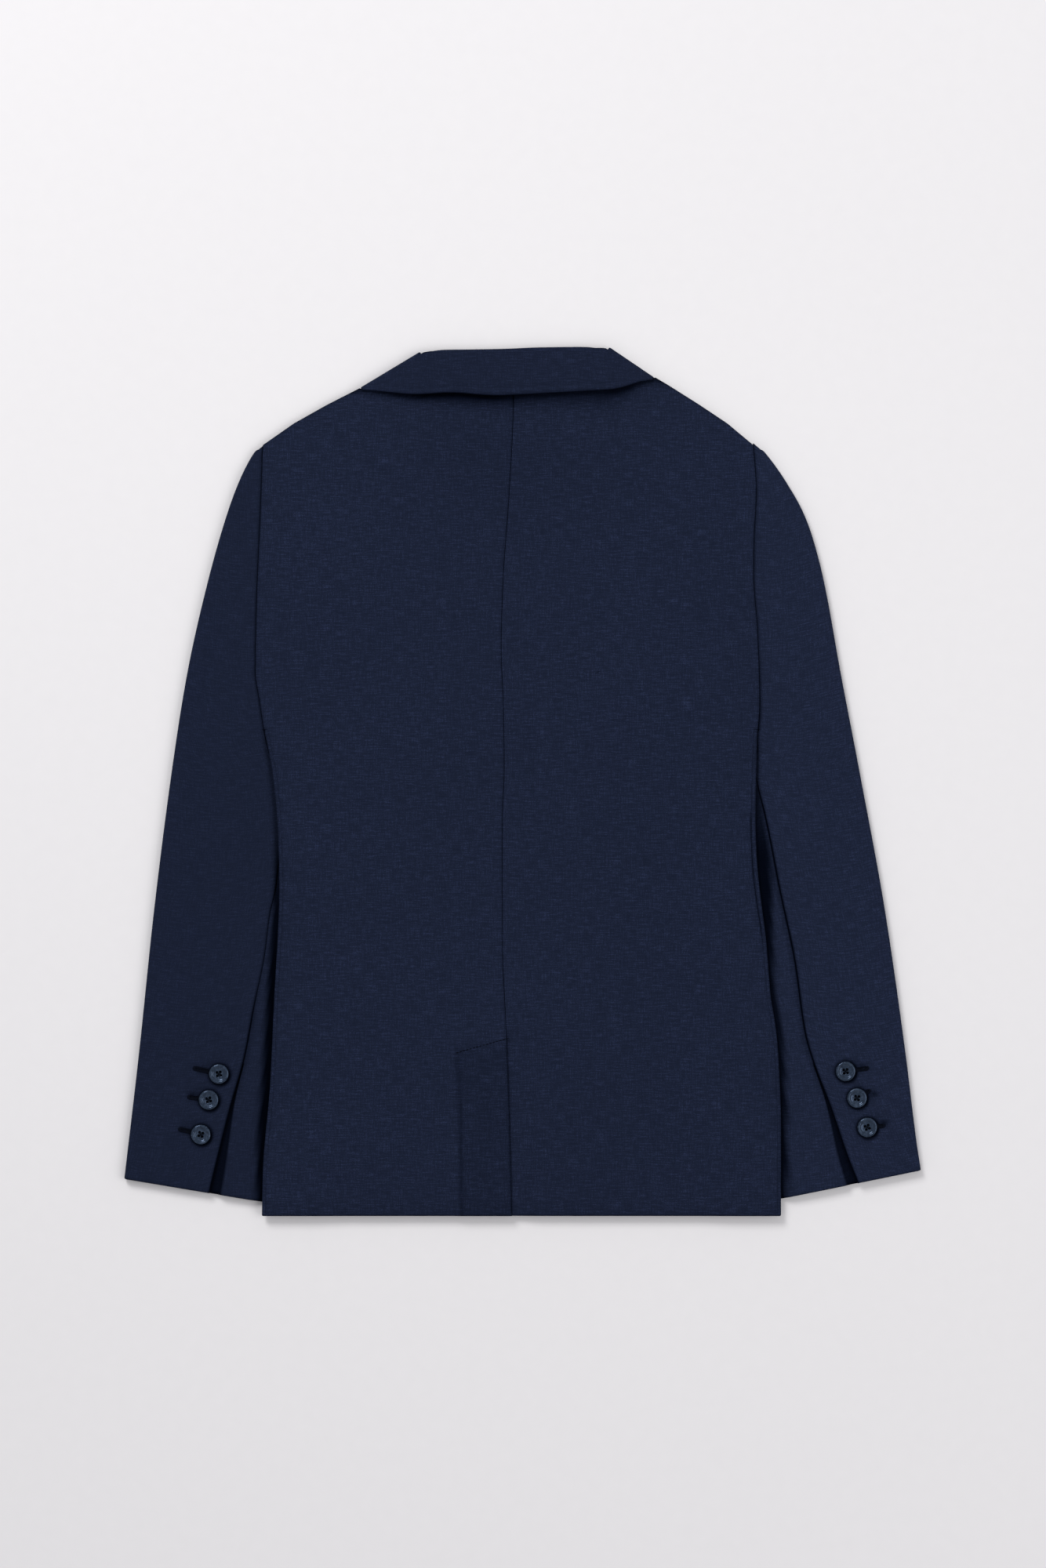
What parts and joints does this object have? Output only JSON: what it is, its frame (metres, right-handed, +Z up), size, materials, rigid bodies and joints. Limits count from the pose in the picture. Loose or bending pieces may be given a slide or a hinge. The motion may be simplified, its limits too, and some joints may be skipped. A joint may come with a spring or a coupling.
{
  "type": "jacket",
  "caption": "Tailored linen jacket laid flat on its front, back upward, with a folded collar, hem vent and buttoned cuffs.",
  "frame": {"origin": "bottom centre of the bounding box, on the surface that the jacket lies on", "axes": "+Z up, out of the surface; +Y from the hem towards the collar; +X to the right as the back is looked at"},
  "size_m": [0.609, 0.664, 0.0095],
  "materials": {
    "linen": "matte",
    "button": "gloss"
  },
  "bodies": {
    "root": {"back_left": "linen", "back_right": "linen", "side_left": "linen", "side_right": "linen", "front_left": "linen", "front_right": "linen", "lapel_left": "linen", "lapel_right": "linen", "collar_fall": "linen", "collar_stand": "linen", "top_sleeve_left": "linen", "top_sleeve_right": "linen", "under_sleeve_left": "linen", "under_sleeve_right": "linen", "cuff_button_left_1": "button", "cuff_button_left_2": "button", "cuff_button_left_3": "button", "cuff_button_right_1": "button", "cuff_button_right_2": "button", "cuff_button_right_3": "button"}
  },
  "joints": []
}
